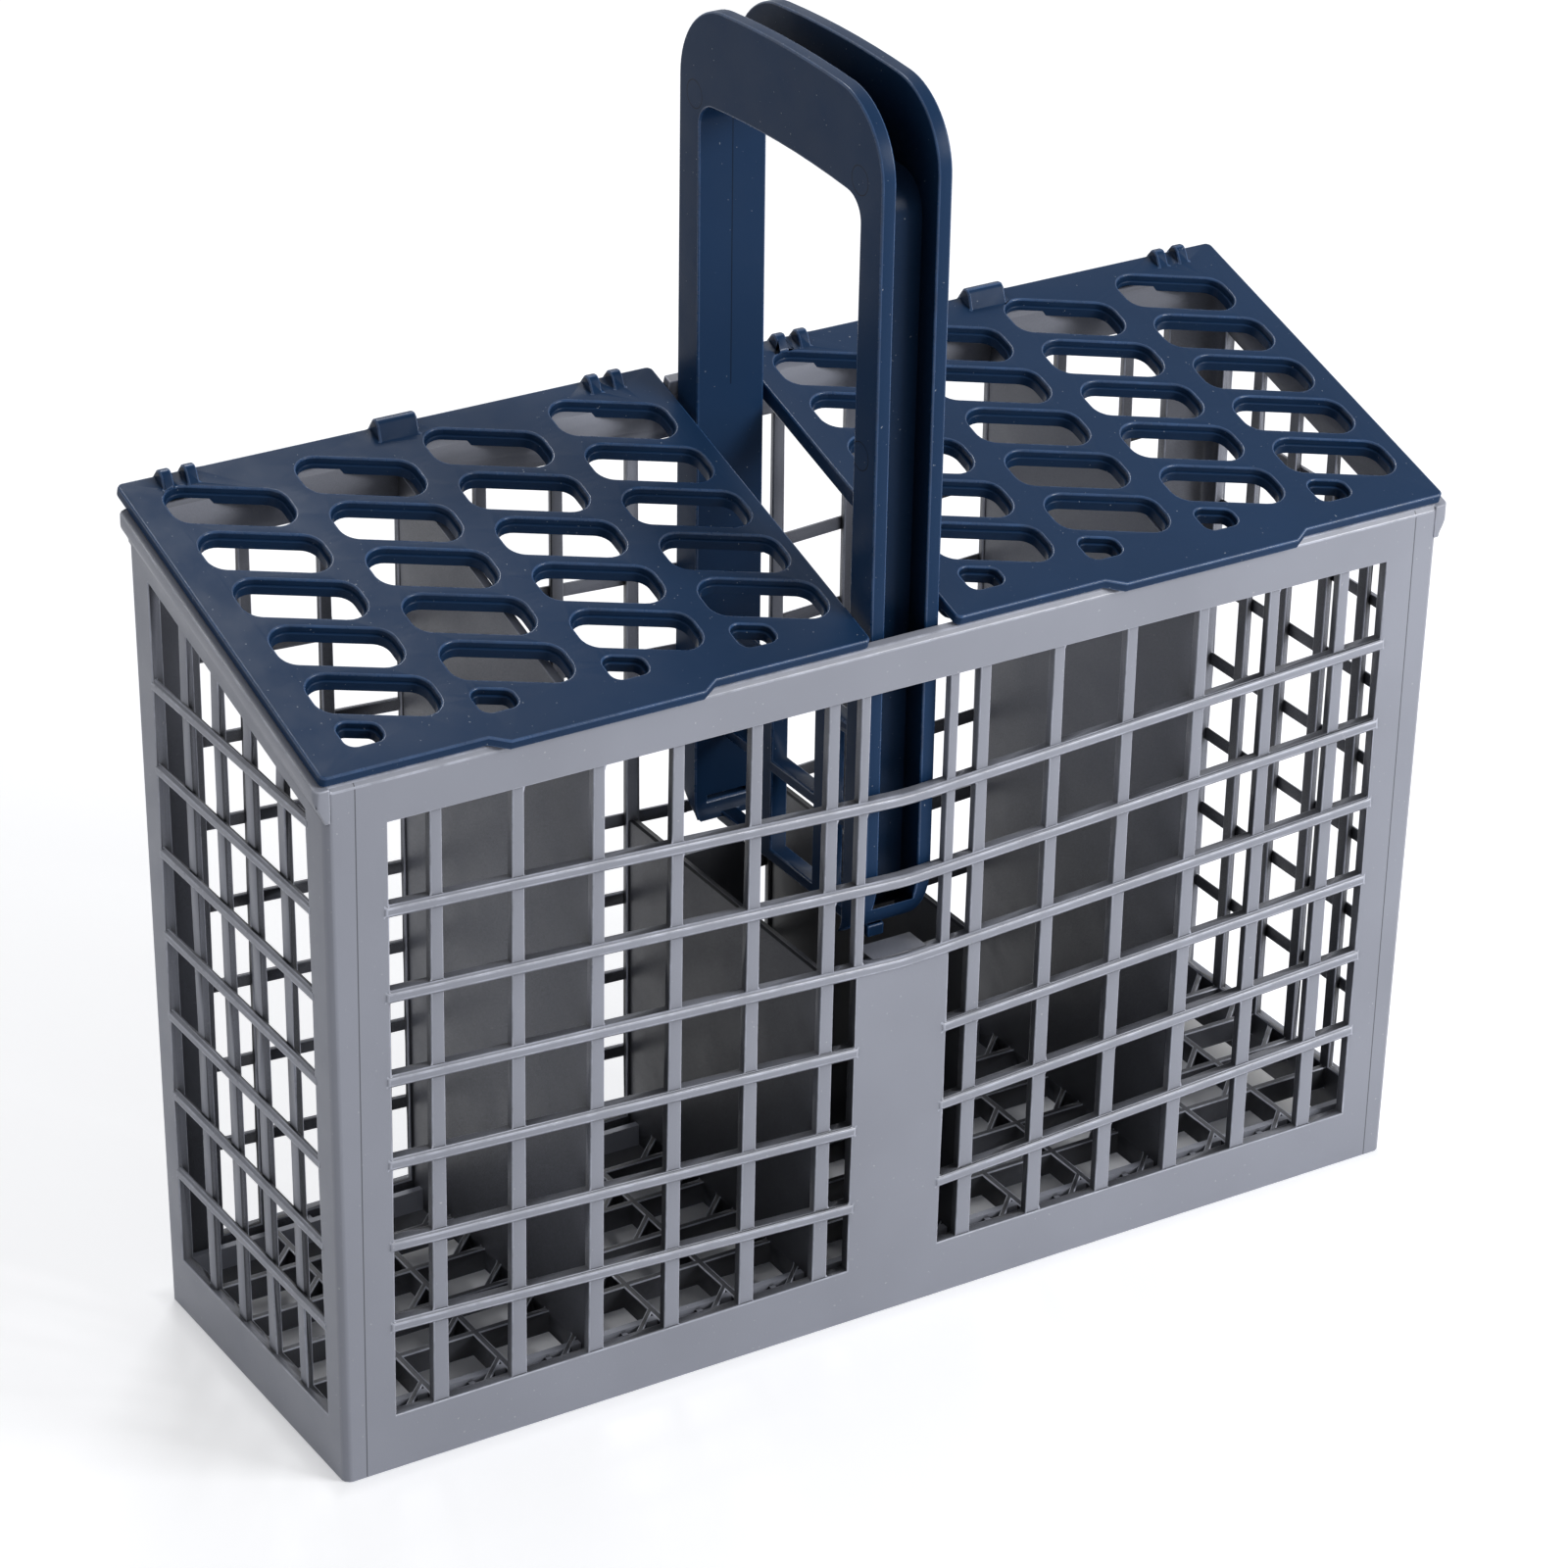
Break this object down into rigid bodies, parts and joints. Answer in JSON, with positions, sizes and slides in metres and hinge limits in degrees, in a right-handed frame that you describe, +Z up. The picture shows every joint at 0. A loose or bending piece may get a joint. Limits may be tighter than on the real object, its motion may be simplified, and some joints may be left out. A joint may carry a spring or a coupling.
{
  "type": "dishwasher cutlery basket",
  "caption": "Open lattice cutlery basket for a dishwasher, with slotted lids hinged along a sloping rim and an upright carrying handle between them.",
  "frame": {"origin": "middle of the base's footprint, on the surface the basket stands on", "axes": "+X along the length to the right as seen from the low front wall, +Y from front to back, +Z up"},
  "size_m": [0.2486, 0.0865, 0.2528],
  "materials": {
    "grey_plastic": "satin moulded",
    "blue_plastic": "satin moulded"
  },
  "bodies": {
    "basket": {"basket": "grey_plastic", "handle": "blue_plastic"},
    "lid_left": {"lid_left": "blue_plastic"},
    "lid_right": {"lid_right": "blue_plastic"}
  },
  "joints": [
    {"name": "lid_left_hinge", "type": "hinge", "parent": "basket", "child": "lid_left", "pos_m": [-0.0662, 0.04285, 0.17068], "axis": [-1, 0, 0], "range_deg": [0, 110]},
    {"name": "lid_right_hinge", "type": "hinge", "parent": "basket", "child": "lid_right", "pos_m": [0.0662, 0.04285, 0.17068], "axis": [-1, 0, 0], "range_deg": [0, 110]}
  ]
}
